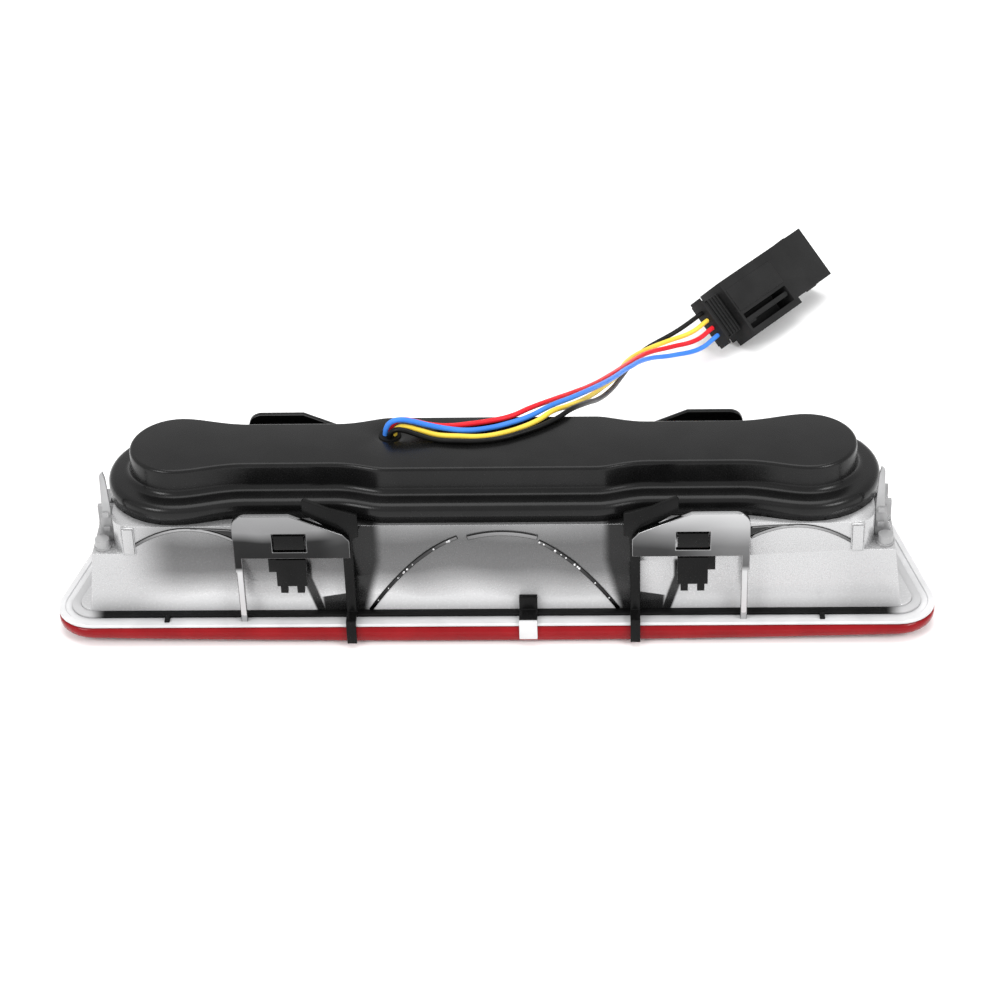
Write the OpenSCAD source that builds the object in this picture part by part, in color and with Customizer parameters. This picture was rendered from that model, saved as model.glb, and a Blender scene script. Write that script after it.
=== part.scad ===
// High-mounted stop lamp for a road vehicle, lying on its lens.
// Units are millimetres. X runs along the lamp, +Y to its far long side, +Z from the lens to the back cover.
// The origin is on the resting surface under the middle of the lamp.

/* [Lens and rim] */
// Half width of the lens across the lamp
lens_half_w = 38; // [34:0.5:42]
// Half length of the lens on its centre line
lens_half_l = 165.4; // [150:0.2:180]
// How much each end leans inwards for every millimetre across the lamp
lens_taper = 0.248; // [0:0.002:0.3]
// Height of the red lens up to the clear rim
lens_h = 8.3; // [7:0.1:10]
// Thickness of the lens face and of its side wall
lens_t = 2.5; // [1.5:0.1:3]
// Radius of the gentle lengthwise bow of the lens face
lens_bow_r = 4800; // [4000:100:9000]
// Thickness of the clear rim plate
rim_t = 1.2; // [0.8:0.1:2]

/* [Housing] */
// Distance from the rim's edge in to the housing wall
housing_inset = 9; // [8:0.5:10]
// Wall thickness of the housing
wall = 2; // [1.5:0.1:2.5]
// Height of the shoulder at both ends
shoulder_z = 38; // [36:0.5:40]
// Height of the deck that carries the back cover
deck_z = 50.5; // [50:0.1:51]
// Half length of the raised middle box
upper_half_l = 146; // [140:1:148]

/* [Reflectors] */
// Distance from the middle reflector to each end reflector
bowl_pitch = 117; // [114:0.5:120]
// Height of the crown of each reflector
bowl_z = 48.4; // [46:0.1:48.5]
// Steepness of the parabola that each reflector follows
bowl_k = 0.0175; // [0.016:0.0005:0.02]
// Thickness of the reflector sheet
bowl_t = 1.4; // [1:0.1:2]

/* [Back cover] */
// Height of the flat back above the resting surface
cover_top = 69; // [66:0.5:72]
// Height of the step between the flange and the raised back
cover_step = 58; // [56:0.5:60]
// Distance from the middle to the centre of each round end
cover_end_x = 121.2; // [118:0.2:123]
// Radius of the raised back's round ends
cover_end_r = 18.6; // [17:0.2:20]
// How far the flange stands out all round
flange_w = 9.4; // [8:0.2:10]
// Wall thickness of the cover
cover_t = 2; // [1.5:0.1:2.5]
// Radius of the wire outlet
outlet_r = 4.3; // [4:0.1:5]

/* [Brackets and clips] */
// Distance from the middle of the lamp to each clip
clip_x = 76.5; // [74:0.5:80]
// Distance from the centre line to the front of each bracket plate
bracket_y = 35.7; // [35:0.1:36.5]
// Thickness of each bracket plate
bracket_t = 2.2; // [1.8:0.1:2.4]
// Height of the top edge of each bracket
bracket_top = 59.8; // [57:0.2:62]

/* [Wires and plug] */
// Outside diameter of each wire
wire_d = 2.1; // [1.6:0.1:2.2]
// Length of the plug body
plug_l = 61.5; // [55:0.5:65]
// Width of the plug body
plug_w = 25.5; // [24:0.5:28]
// Thickness of the plug body
plug_t = 15; // [14:0.5:16]

/* [Hidden] */
$fn = 64;

slant = sqrt(1 + lens_taper * lens_taper);
rim_z = lens_h + rim_t;
near_r = 15;
far_r = 18;
wall_y = lens_half_w - housing_inset;
gap = 0.3;

// Half length of the tapered outline at a distance y across, moved in by d
function side_x(y, d) = lens_half_l - lens_taper * y - d * slant;
// Centre of a rounded corner: side is -1 at the near edge and 1 at the far edge
function corner_y(side, r, d) = side * (lens_half_w - d - r);
function corner_x(side, r, d) = side_x(corner_y(side, r, d), d) - r * slant;

// Rounded, tapered outline of the lens, moved in by d
module lamp_outline(d) {
    rn = near_r - min(d, 11);
    rf = far_r - min(d, 11);
    half = [
        [corner_x(-1, rn, d), -(lens_half_w - d)],
        [corner_x(-1, rn, d) + rn / slant, corner_y(-1, rn, d) + rn * lens_taper / slant],
        [corner_x(1, rf, d) + rf / slant, corner_y(1, rf, d) + rf * lens_taper / slant],
        [corner_x(1, rf, d), lens_half_w - d]
    ];
    polygon(concat(half, [for (i = [3:-1:0]) [-half[i][0], half[i][1]]]));
    for (s = [-1, 1]) {
        translate([s * corner_x(-1, rn, d), corner_y(-1, rn, d)]) circle(rn);
        translate([s * corner_x(1, rf, d), corner_y(1, rf, d)]) circle(rf);
    }
}

// Smooth step from a to b while x goes from x0 to x1
function ease(x, x0, x1, a, b) = a + (b - a) * (1 - cos(180 * (x - x0) / (x1 - x0))) / 2;
bone_mid = 40;
bone_waist_in = 60;
bone_waist_out = 94;
bone_steps = 6;
end_steps = 8;
// Half width of the raised back along its length
function bone_half(x) =
    x < bone_waist_in ? ease(x, bone_mid, bone_waist_in, 18, 14.2)
    : ease(x, bone_waist_out, cover_end_x, 14.2, cover_end_r);
// Dog-bone outline of the raised back with round ends, moved out by d
module bone_outline(d) {
    quarter = concat(
        [for (i = [0:bone_steps]) let (x = bone_mid + (bone_waist_in - bone_mid - 0.01) * i / bone_steps)
            [x, bone_half(x) + d]],
        [for (i = [0:bone_steps]) let (x = bone_waist_out + (cover_end_x - bone_waist_out) * i / bone_steps)
            [x, bone_half(x) + d]],
        [for (i = [1:end_steps]) let (turn = 90 * i / end_steps)
            [cover_end_x + (cover_end_r + d) * sin(turn), (cover_end_r + d) * cos(turn)]]
    );
    n = len(quarter) - 1;
    polygon(concat(
        quarter,
        [for (i = [n - 1:-1:0]) [quarter[i][0], -quarter[i][1]]],
        [for (i = [0:n]) [-quarter[i][0], -quarter[i][1]]],
        [for (i = [n - 1:-1:0]) [-quarter[i][0], quarter[i][1]]]
    ));
}

upper_r = 9;
// Outline of the raised middle box of the housing, moved in by d
module upper_outline(d) {
    r = upper_r - d;
    cx = upper_half_l - upper_r;
    cy = wall_y - upper_r;
    square([2 * cx, 2 * (wall_y - d)], center = true);
    square([2 * (upper_half_l - d), 2 * cy], center = true);
    for (sx = [-1, 1], sy = [-1, 1]) translate([sx * cx, sy * cy]) circle(r);
}

module slab(z0, z1) {
    translate([0, 0, z0]) linear_extrude(z1 - z0) children();
}

// ---- Lens, rim and seal ----
bow_half = 180;
bow_step = 20;
// Space on the lamp's side of a bowed face that is t deep inside the lens
module above_bow(t) {
    rotate([90, 0, 0]) linear_extrude(100, center = true) polygon(concat(
        [for (x = [-bow_half:bow_step:bow_half]) [x, x * x / (2 * lens_bow_r) + t]],
        [[bow_half, 2 * lens_h], [-bow_half, 2 * lens_h]]
    ));
}
module lens() {
    color("red") difference() {
        intersection() {
            slab(-1, lens_h) lamp_outline(0);
            above_bow(0);
        }
        intersection() {
            slab(0, lens_h + 1) lamp_outline(lens_t);
            above_bow(lens_t);
        }
    }
}
notch_x = 126.5;
notch_w = 2;
module lens_rim() {
    color("whitesmoke") difference() {
        slab(lens_h, rim_z) lamp_outline(0);
        slab(lens_h - 1, rim_z + 1) lamp_outline(housing_inset + wall);
        for (sx = [-1, 1], sy = [-1, 1])
            translate([sx * notch_x, sy * lens_half_w, rim_z]) cube([notch_w, 8, 4], center = true);
    }
}
seal_w = 3.6;
seal_h = 1.1;
module rim_seal() {
    color("black") difference() {
        slab(rim_z, rim_z + seal_h) lamp_outline(housing_inset - seal_w);
        slab(rim_z - 1, rim_z + 2) lamp_outline(housing_inset);
    }
}

// ---- Housing and reflectors ----
window_x = 26;
window_y = 18;
post_x = [-90, -30, 30, 90];
post_y = 8;
post_r = 3;
rib_x = 139;
rib_y = 28.4;
end_foot = 157;
end_top = 153.6;
base_t = 1.6;
// Half length of the lower box at height z, because its ends lean in
function end_at(z) = end_foot - (end_foot - end_top) * (z - rim_z) / (shoulder_z - rim_z);
// Space between the leaning ends, moved in by d
module between_ends(d) {
    z0 = rim_z - 1;
    z1 = shoulder_z + 1;
    rotate([90, 0, 0]) linear_extrude(100, center = true) polygon([
        [d - end_at(z0), z0], [end_at(z0) - d, z0], [end_at(z1) - d, z1], [d - end_at(z1), z1]
    ]);
}
module housing() {
    color("silver") {
        difference() {
            union() {
                slab(rim_z, rim_z + base_t) lamp_outline(housing_inset);
                intersection() {
                    slab(rim_z, shoulder_z) lamp_outline(housing_inset);
                    between_ends(0);
                }
            }
            intersection() {
                slab(rim_z - 1, shoulder_z - wall) lamp_outline(housing_inset + wall);
                between_ends(wall);
            }
            slab(shoulder_z - wall - 1, shoulder_z + 1) upper_outline(wall);
        }
        difference() {
            slab(shoulder_z, deck_z) upper_outline(0);
            slab(shoulder_z - 1, deck_z - 1.6) upper_outline(wall);
            for (x = [-bowl_pitch, 0, bowl_pitch])
                translate([x, 0, deck_z]) cube([window_x, window_y, 10], center = true);
        }
        for (x = post_x) translate([x, post_y, deck_z]) cylinder(r = post_r, h = 2);
        for (sx = [-1, 1], sy = [-1, 1])
            translate([sx * rib_x, sy * rib_y, (shoulder_z + deck_z) / 2 - 0.5])
                cube([4, 2.4, deck_z - shoulder_z - 1], center = true);
    }
}

bowl_steps = 12;
// Height of the reflector's outer face at a distance x from its middle
function bowl_h(x) = bowl_z - bowl_k * x * x;
bowl_half = 47.5;
// One reflector trough between x0 and x1, measured from its own middle
module trough(x0, x1) {
    y = wall_y - wall - 0.2;
    xs = [for (i = [0:2 * bowl_steps]) x0 + (x1 - x0) * i / (2 * bowl_steps)];
    difference() {
        rotate([90, 0, 0]) linear_extrude(2 * y, center = true) polygon(concat(
            [for (x = xs) [x, bowl_h(x)]],
            [for (i = [2 * bowl_steps:-1:0]) [xs[i], bowl_h(xs[i]) - bowl_t]]
        ));
        translate([0, 0, bowl_z]) cube([window_x - 6, window_y - 4, 12], center = true);
    }
}
module reflector_middle() {
    color("gainsboro") trough(-bowl_half + 1, bowl_half - 1);
}
module reflector_right() {
    color("gainsboro") intersection() {
        translate([bowl_pitch, 0, 0]) trough(-bowl_half + 1, 41);
        union() {
            intersection() {
                slab(rim_z, shoulder_z - wall) lamp_outline(housing_inset + wall + 0.2);
                between_ends(wall + 0.2);
            }
            slab(shoulder_z - wall, deck_z) upper_outline(wall + 0.2);
        }
    }
}
module reflector_left() {
    mirror([1, 0, 0]) reflector_right();
}

// ---- End fins ----
fin_x = 150;
fin_t = 2;
fin_y = 20;
fin_top = 69.5;
cross_t = 1.6;
peg_y = 24.5;
peg_r = 2.8;
peg_h = 4;
foot_h = 0.8;
module fin_right() {
    color("lightgray") {
        // Cross plate that rises to a point beside the cover
        translate([0, cross_t - fin_y, 0]) rotate([90, 0, 0]) linear_extrude(cross_t) polygon([
            [146.3, shoulder_z], [153.3, shoulder_z], [150.8, 46], [149.6, 52], [149, 68],
            [147.6, fin_top], [146.9, 66], [146.3, 54]
        ]);
        for (z = [42.5, 49]) translate([fin_x - 3, -fin_y - 0.8, z]) cube([2.6, 1, 2.4]);
        // Gusset and stops behind it
        translate([fin_x - 0.6, 0, 0]) rotate([90, 0, 90]) linear_extrude(fin_t) polygon([
            [0.8 - fin_y, shoulder_z], [0.8 - fin_y, 46], [4, 44], [7, shoulder_z]
        ]);
        translate([fin_x - 3, -10, shoulder_z]) cube([6.3, fin_t, 9]);
        translate([fin_x - 3, 4, shoulder_z]) cube([6.3, fin_t, 6]);
        // Locating peg on a round base, joined to the plate by a thin foot
        translate([fin_x, -peg_y, shoulder_z]) cylinder(r = peg_r + 0.5, h = foot_h);
        translate([fin_x, -peg_y, shoulder_z + foot_h]) cylinder(r = peg_r, h = peg_h - foot_h);
        translate([fin_x - 1, -peg_y, shoulder_z]) cube([fin_t, peg_y - fin_y + cross_t / 2, foot_h]);
    }
}
module fin_left() {
    mirror([1, 0, 0]) fin_right();
}

// ---- Back cover ----
flange_low = deck_z + 0.5;
edge_r = 2;
outlet_x = -39.4;
outlet_y = 5.3;
module cover() {
    color("dimgray") difference() {
        union() {
            slab(flange_low, cover_step - 1.5) bone_outline(flange_w);
            slab(cover_step - 1.5, cover_step) bone_outline(flange_w - edge_r / 2);
            slab(cover_step, cover_top - 1) bone_outline(0.6);
            slab(cover_top - 1, cover_top) bone_outline(-0.4);
        }
        slab(flange_low - 1, cover_step - cover_t) bone_outline(flange_w - cover_t);
        slab(cover_step - cover_t - 1, cover_top - cover_t) bone_outline(-cover_t);
        translate([outlet_x, outlet_y, cover_top - 5]) cylinder(r = outlet_r, h = 10);
    }
}
module cover_gasket() {
    color("black") difference() {
        slab(deck_z, flange_low) bone_outline(flange_w);
        slab(deck_z - 1, flange_low + 1) bone_outline(flange_w - cover_t);
    }
}

// ---- Electronics under the cover ----
board_z = deck_z + 2;
board_t = 1.6;
board_l = 268;
board_w = 24;
led_rows = [-5, 5];
led_cols = [-8, 0, 8];
module circuit_board() {
    color("darkgreen") difference() {
        translate([-board_l / 2, -board_w / 2 + 1, board_z]) cube([board_l, board_w, board_t]);
        for (x = post_x) translate([x, post_y, board_z - 1]) cylinder(r = 1.3, h = 4);
    }
}
module leds() {
    color("ivory") for (bx = [-bowl_pitch, 0, bowl_pitch], x = led_cols, y = led_rows)
        translate([bx + x, y, board_z - 0.8]) {
            translate([-1.75, -1.4, 0]) cube([3.5, 2.8, 0.8]);
            translate([0, 0, -0.6]) cylinder(r = 1.1, h = 0.6);
        }
}
module board_parts() {
    color("black") {
        for (x = [-70, -60, 60, 70], y = [-6, 0])
            translate([x, y, board_z + board_t]) cube([6.3, 3.2, 0.7]);
        translate([12, -5, board_z + board_t]) cube([10, 8, 2.6]);
        translate([-14, -1, board_z + board_t]) cylinder(r = 3.2, h = 6);
    }
}
module board_screws() {
    color("silver") for (x = post_x) translate([x, post_y, board_z + board_t]) difference() {
        cylinder(r = 2.6, h = 1.8);
        translate([0, 0, 0.8]) cylinder(r = 1.1, h = 2, $fn = 6);
    }
}
header_z = board_z + board_t + 5;
module wire_header() {
    color("ivory") translate([outlet_x - 8, outlet_y - 4, board_z + board_t]) cube([14, 6, 5]);
}

// ---- Wires ----
plug_pos = [120.5, 201, 20.6];
plug_turn = 51.3;
plug_tilt = 42.7;
collar_l = 11.6;
wire_pitch = 4;
plug_axis = [cos(plug_turn), sin(plug_turn), 0];
plug_side = [-cos(plug_tilt) * plug_axis[1], cos(plug_tilt) * plug_axis[0], sin(plug_tilt)];
plug_face = cross(plug_axis, plug_side);
// Where a wire meets the back of the plug's collar, i places from its middle
function wire_end(i) =
    plug_pos - plug_axis * (plug_l / 2 + collar_l) + plug_side * wire_pitch * i - plug_face * plug_t / 2;
// Each wire leaves the outlet upwards, lies along the back, drops off the far edge and ends in the plug
red_route = [[-39.4, 7.6, 69], [-38.8, 7.6, 71.6], [-36.9, 7.7, 73.6], [-34, 7.9, 74.2], [-29.5, 8.3, 73],
    [-24, 8.8, 71.2], [-17, 9.4, 70.2], [-9, 10.6, 70.2], [-1, 12.6, 70.2], [7, 15.8, 70.2], [14, 21.5, 70],
    [22, 31.5, 67], [30, 45, 61.5], [38, 63, 53.5], [46, 88, 42.5], [54, 118, 29], [63, 143, 18.5],
    [73, 154.5, 14], [83.5, 160.5, 13.4], wire_end(-0.5)];
blue_route = [[-41.2, 5.3, 69], [-40.6, 5.3, 72.2], [-38.6, 5.3, 74.9], [-35.4, 5.3, 75.9], [-31, 5.3, 75.3],
    [-25, 5.2, 73.6], [-18, 5, 72], [-10, 5.6, 70.6], [-2, 7.4, 70.2], [6, 10.6, 70.2], [14, 15.4, 70.2],
    [22, 23.2, 69.8], [30, 35, 65.8], [38, 51, 59.5], [46, 76, 48], [54, 107, 34], [63, 135, 20.5],
    [74, 148.5, 13.5], [85.5, 158, 10.7], wire_end(-1.5)];
yellow_route = [[-37.6, 5.3, 69], [-37.1, 5.3, 71.2], [-35.4, 5.2, 72.6], [-33, 4.9, 72.8], [-28, 4.2, 71.8],
    [-21, 3.2, 70.2], [-13, 2.2, 70.2], [-4, 1.8, 70.2], [4, 4, 70.2], [11, 7.6, 70.2], [17.5, 12.6, 70.2],
    [23, 18.8, 70.3], [28.5, 27, 67.1], [36, 49, 56.5], [43, 76, 44.5], [49, 106, 31], [54, 135, 20], [62, 151, 15],
    [71, 158.5, 14.3], [81.5, 163.5, 15.6], wire_end(0.5)];
black_route = [[-39.4, 3, 69], [-38.8, 3, 71.2], [-37, 2.8, 72.8], [-34.4, 2.4, 73.1], [-29, 1.4, 71.8],
    [-22, 0, 70.2], [-13, -1.2, 70.2], [-4, -1.2, 70.2], [4, 0.6, 70.2], [11, 4, 70.2], [19, 8.9, 70.2],
    [25.5, 14.6, 70.2], [29.5, 19.6, 70.1], [35, 31, 65.5], [41, 56, 51.5], [46, 82, 39], [50, 110, 26.5],
    [55, 137, 16.5], [61, 155.5, 12], [76, 165, 16], wire_end(1.5)];

function unit(v) = v / norm(v);
// Direction of a route at point i
function heading(p, i) = unit(p[min(i + 1, len(p) - 1)] - p[max(i - 1, 0)]);
// A side direction that stays level, except on the first upright stretch
function across(t) = abs(t[2]) > 0.95 ? [0, 1, 0] : unit(cross([0, 0, 1], t));
function ring(p, i, t, sides) = let (a = across(t), b = cross(t, a))
    [for (k = [0:sides - 1]) p + (a * cos(360 * k / sides) + b * sin(360 * k / sides)) * wire_d / 2];
// First and last rings lie flat against what the wire meets
function end_heading(p, i) = i == 0 ? [0, 0, 1] : i == len(p) - 1 ? plug_axis : heading(p, i);
module wire(p) {
    sides = 8;
    n = len(p);
    points = [for (i = [0:n - 1]) each ring(p[i], i, end_heading(p, i), sides)];
    skin = [for (i = [0:n - 2], k = [0:sides - 1], h = [0, 1]) let (
        a = i * sides + k,
        b = i * sides + (k + 1) % sides
    ) h == 0 ? [a, b, b + sides] : [a, b + sides, a + sides]];
    polyhedron(points, concat(
        [[for (k = [sides - 1:-1:0]) k]],
        skin,
        [[for (k = [0:sides - 1]) (n - 1) * sides + k]]
    ));
}
module wire_red() {
    color("red") wire(red_route);
}
module wire_blue() {
    color("royalblue") wire(blue_route);
}
module wire_yellow() {
    color("gold") wire(yellow_route);
}
module wire_black() {
    color("black") wire(black_route);
}
wire_starts = [red_route[0], blue_route[0], yellow_route[0], black_route[0]];
seal_low = cover_top - cover_t - 1.5;
module outlet_seal() {
    color("black") translate([outlet_x, outlet_y, 0]) {
        slab(seal_low + 1.5, cover_top) circle(outlet_r);
        slab(seal_low, seal_low + 1.5) circle(outlet_r + 1.7);
    }
}
module inner_leads() {
    color("gray") for (p = wire_starts)
        translate([p[0], p[1] > 7 ? 6.2 : p[1], header_z]) cylinder(d = wire_d - 0.3, h = seal_low - header_z);
}

// ---- Plug ----
mouth_l = 22;
mouth_wall = 2.2;
pin_pitch = 4;
pin_count = 4;
pin_shift = 2.6;
// Places a piece drawn along the plug: X to the mating end, Z out of the broad face
module at_plug() {
    translate(plug_pos) rotate([0, 0, plug_turn]) rotate([plug_tilt, 0, 0]) children();
}
// Block from one corner to the other
module block(a, b) {
    translate(a) cube(b - a);
}
rail_x = 5;
rail_t = 3;
// Open bay beside the plug's terminals, where the latch lever moves
bay_start = -plug_l / 2 + 1.5;
bay_end = 2;
bay_in = -4.9;
lever_y = -9.4;
lever_t = 2.2;
module plug_body() {
    half = plug_w / 2;
    color("black") at_plug() difference() {
        union() {
            block([-plug_l / 2, -half, -plug_t], [plug_l / 2, half, 0]);
            block([-plug_l / 2, -half - rail_t, -12], [rail_x, -half, 0]);
        }
        block([bay_start, -half, -11], [bay_end, bay_in, 1]);
        block([plug_l / 2 - mouth_l, -half + mouth_wall, -plug_t + mouth_wall],
            [plug_l / 2 + 1, half - mouth_wall, -mouth_wall]);
        for (i = [0:pin_count - 1]) translate([-4, (i - 1.5) * pin_pitch + pin_shift, -plug_t / 2])
            block([-1, -1.4, -0.4], [20, 1.4, 0.4]);
    }
}
rib_count = 4;
module plug_collar() {
    x0 = -plug_l / 2 - collar_l;
    color("black") at_plug() {
        block([x0, -10.5, -11.5], [x0 + 1.6, 10.5, -3.5]);
        block([x0 + 1.6, -8.7, -10.4], [-plug_l / 2, 8.7, -4.6]);
        for (i = [0:rib_count - 1]) translate([x0 + 3.6 + 2 * i, 0, 0])
            block([0, -9.6, -11.1], [1, 9.6, -3.9]);
    }
}
module plug_terminals() {
    color("goldenrod") at_plug() for (i = [0:pin_count - 1])
        translate([0, (i - 1.5) * pin_pitch + pin_shift, -plug_t / 2])
            block([-5, -1.4, -0.4], [plug_l / 2 - 7, 1.4, 0.4]);
}
latch_pin_r = 0.8;
latch_pin_x = 0.7;
// Latch lever: free at the wire end, with a thumb ridge, and turning on a pin at the front of its bay
module plug_latch() {
    color("black") at_plug() {
        block([bay_start + 0.6, lever_y, -10], [latch_pin_x, lever_y + lever_t, -0.6]);
        block([bay_start + 0.6, lever_y - 0.9, -9.5], [bay_start + 6, lever_y, -1.2]);
        translate([latch_pin_x, lever_y + lever_t / 2, -10.4]) cylinder(r = latch_pin_r, h = 9.6);
    }
}

// ---- Brackets, straps and clips ----
// Draws a near right piece at one of the four corners
module at_corner(sx, sy) {
    mirror([sx < 0 ? 1 : 0, 0, 0]) mirror([0, sy > 0 ? 1 : 0, 0]) children();
}
// Upright sheet in the X-Z plane from front to back, measured towards the near side
module sheet(front, back) {
    translate([0, -back, 0]) rotate([90, 0, 0]) linear_extrude(front - back) children();
}
plate_in = 53.5;
plate_out = 98;
plate_low = 40;
hole_w = 13;
hole_low = 43;
hole_h = 8.4;
leg_w = 2.5;
module bracket() {
    back = bracket_y - bracket_t;
    color("silver") {
        sheet(bracket_y, back) difference() {
            polygon([
                [plate_in, plate_low], [plate_in, 48], [56, 51], [65, 55], [76, bracket_top],
                [95, bracket_top], [plate_out, bracket_top - 3], [plate_out, 33.5],
                [plate_out - 0.5, 33.5], [plate_out - 0.5, rim_z], [plate_out - 0.5 - leg_w, rim_z],
                [plate_out - 0.5 - leg_w, plate_low]
            ]);
            translate([clip_x - hole_w / 2, hole_low]) square([hole_w, hole_h]);
        }
        block([plate_out - 2, -back, plate_low], [plate_out, -wall_y, deck_z]);
        block([57.6, -back, plate_low], [59.6, -wall_y, deck_z]);
    }
}
strap_front = 33.1;
strap_back = 31.3;
strap_in = 52.8;
strap_out = 56.6;
hook_back = lens_half_w + gap;
strap_low = rim_z + seal_h + 0.4;
// Black strap; the two near ones end in a wing over the bracket
module strap(winged) {
    color("black") {
        sheet(strap_front, strap_back) polygon(winged ? [
            [strap_in, strap_low], [strap_in, 47], [50.3, 48], [50.3, 58], [61, 61], [70, 65.4],
            [71, 64.4], [71, 59], [61, 52], [strap_out, 50.8], [strap_out, strap_low]
        ] : [
            [strap_in, strap_low], [strap_in, 50.8], [strap_out, 50.8], [strap_out, strap_low]
        ]);
        block([strap_in, -hook_back - 1.7, rim_z + 1.5], [strap_out, -strap_back, rim_z + 3.3]);
        block([strap_in, -hook_back - 1.7, 2.2], [strap_out, -hook_back, rim_z + 3.3]);
    }
}
clip_w = 11.5;
clip_pivot_y = 32.25;
clip_pivot_z = 50;
clip_pin_r = 0.85;
// Sprung clip: head in the plate's hole, pivot stubs behind it, two teeth below
module clip() {
    x0 = clip_x - clip_w / 2;
    x1 = clip_x + clip_w / 2;
    back = bracket_y - bracket_t;
    color("black") {
        translate([x0 - 1, -clip_pivot_y, clip_pivot_z]) rotate([0, 90, 0]) cylinder(r = clip_pin_r, h = clip_w + 2);
        block([x0, -bracket_y - 0.5, 44.6], [x1, -back + 2.1, hole_low + hole_h - 0.5]);
        block([x0, -back + 0.4, 36], [x1, -back + 2.1, 45]);
        block([x0, -bracket_y, 27], [x1, -back + 2.1, plate_low - 0.6]);
        block([x1, -bracket_y + 0.4, 33.5], [x1 + 2.8, -back + 1.2, plate_low - 0.6]);
        block([x0 + 1.2, -bracket_y, 23.8], [x0 + 4, -bracket_y + 2, 27]);
        block([x1 - 4, -bracket_y, 23.8], [x1 - 1.2, -bracket_y + 2, 27]);
    }
}
snap_x = 13.5;
snap_w = 7;
// Snap arm on the housing wall, reaching over the seal to the rim's edge
module snap() {
    color("black") {
        block([snap_x - snap_w / 2, -wall_y - 2.4, rim_z + seal_h], [snap_x + snap_w / 2, -wall_y, rim_z + 8]);
        block([snap_x - snap_w / 2, -lens_half_w, rim_z + seal_h], [snap_x + snap_w / 2, -wall_y - 2, rim_z + 2.4]);
    }
}
// Clear lugs of the rim that the snap arms hold
module snap_lugs() {
    color("whitesmoke") for (sy = [-1, 1]) scale([1, sy, 1])
        block([snap_x - snap_w / 2, lens_half_w, 3.3], [snap_x + snap_w / 2, lens_half_w + 1.2, rim_z + 2.4]);
}

lens();
lens_rim();
rim_seal();
housing();
reflector_middle();
reflector_left();
reflector_right();
fin_left();
fin_right();
cover();
cover_gasket();
circuit_board();
leds();
board_parts();
board_screws();
wire_header();
inner_leads();
outlet_seal();
at_corner(-1, -1) bracket();  // bracket_near_left
at_corner(1, -1) bracket();  // bracket_near_right
at_corner(-1, 1) bracket();  // bracket_far_left
at_corner(1, 1) bracket();  // bracket_far_right
at_corner(-1, -1) strap(true);  // strap_near_left
at_corner(1, -1) strap(true);  // strap_near_right
at_corner(-1, 1) strap(false);  // strap_far_left
at_corner(1, 1) strap(false);  // strap_far_right
at_corner(-1, -1) clip();  // clip_near_left
at_corner(1, -1) clip();  // clip_near_right
at_corner(-1, 1) clip();  // clip_far_left
at_corner(1, 1) clip();  // clip_far_right
snap();  // snap_near
at_corner(1, 1) snap();  // snap_far
snap_lugs();
wire_red();
wire_blue();
wire_yellow();
wire_black();
plug_body();
plug_collar();
plug_terminals();
plug_latch();
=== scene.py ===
"""High-mounted stop lamp lying on its lens: the finished pieces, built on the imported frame."""
import math
import random

import bmesh
import bpy
from mathutils import Matrix, Vector


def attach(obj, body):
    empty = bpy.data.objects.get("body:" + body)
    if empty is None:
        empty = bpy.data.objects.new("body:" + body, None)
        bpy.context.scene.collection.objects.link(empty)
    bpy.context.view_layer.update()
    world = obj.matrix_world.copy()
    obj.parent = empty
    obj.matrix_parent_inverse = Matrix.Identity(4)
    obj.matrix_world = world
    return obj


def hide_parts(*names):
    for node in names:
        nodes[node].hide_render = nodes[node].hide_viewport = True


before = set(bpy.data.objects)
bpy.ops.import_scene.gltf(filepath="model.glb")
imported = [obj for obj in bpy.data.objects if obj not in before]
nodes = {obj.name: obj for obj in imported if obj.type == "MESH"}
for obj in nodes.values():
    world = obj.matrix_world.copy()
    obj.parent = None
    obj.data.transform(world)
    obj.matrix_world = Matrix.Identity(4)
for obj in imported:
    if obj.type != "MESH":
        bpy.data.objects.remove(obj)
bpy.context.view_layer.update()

MM = 0.001
LAMP = "lamp"

# Arches of the reflector bays on the long walls: middle, crown height and fall per square millimetre
MIDDLE_BAY_X = 0.3
MIDDLE_CROWN = 47.8
MIDDLE_FALL = 0.0162
END_BAY_X = 116
END_CROWN = 49.4
END_FALL = 0.0175


def put_in_scene(name, data):
    """New object in the scene's own collection."""
    made = bpy.data.objects.new(name, data)
    bpy.context.scene.collection.objects.link(made)
    return made


# ---- Camera ----
camera = put_in_scene("camera", bpy.data.cameras.new("camera"))
camera.data.sensor_width = 36
camera.data.lens = 101.85
camera.location = (0.0452, -0.8989, 0.6774)
camera.rotation_euler = [math.radians(turn) for turn in (54.74, 1.606, 1.586)]
bpy.context.scene.camera = camera


# ---- Finishes ----
def new_finish(name, values):
    """A material whose uniform values sit on the shader's own sockets."""
    finish = bpy.data.materials.new(name)
    finish.use_nodes = True
    shader = finish.node_tree.nodes["Principled BSDF"]
    for socket, value in values.items():
        shader.inputs[socket].default_value = value
    return finish, finish.node_tree, shader


def object_place(tree):
    """Where a point is on the object, in metres."""
    return tree.nodes.new("ShaderNodeTexCoord").outputs["Object"]


def axes_of(tree, place):
    """A place's X, Y and Z as separate sockets."""
    made = tree.nodes.new("ShaderNodeSeparateXYZ")
    tree.links.new(place, made.inputs["Vector"])
    return made.outputs


def noise_of(tree, place, scale, detail=3):
    """Even noise from 0 to 1."""
    made = tree.nodes.new("ShaderNodeTexNoise")
    made.inputs["Scale"].default_value = scale
    made.inputs["Detail"].default_value = detail
    tree.links.new(place, made.inputs["Vector"])
    return made.outputs["Fac"]


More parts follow.
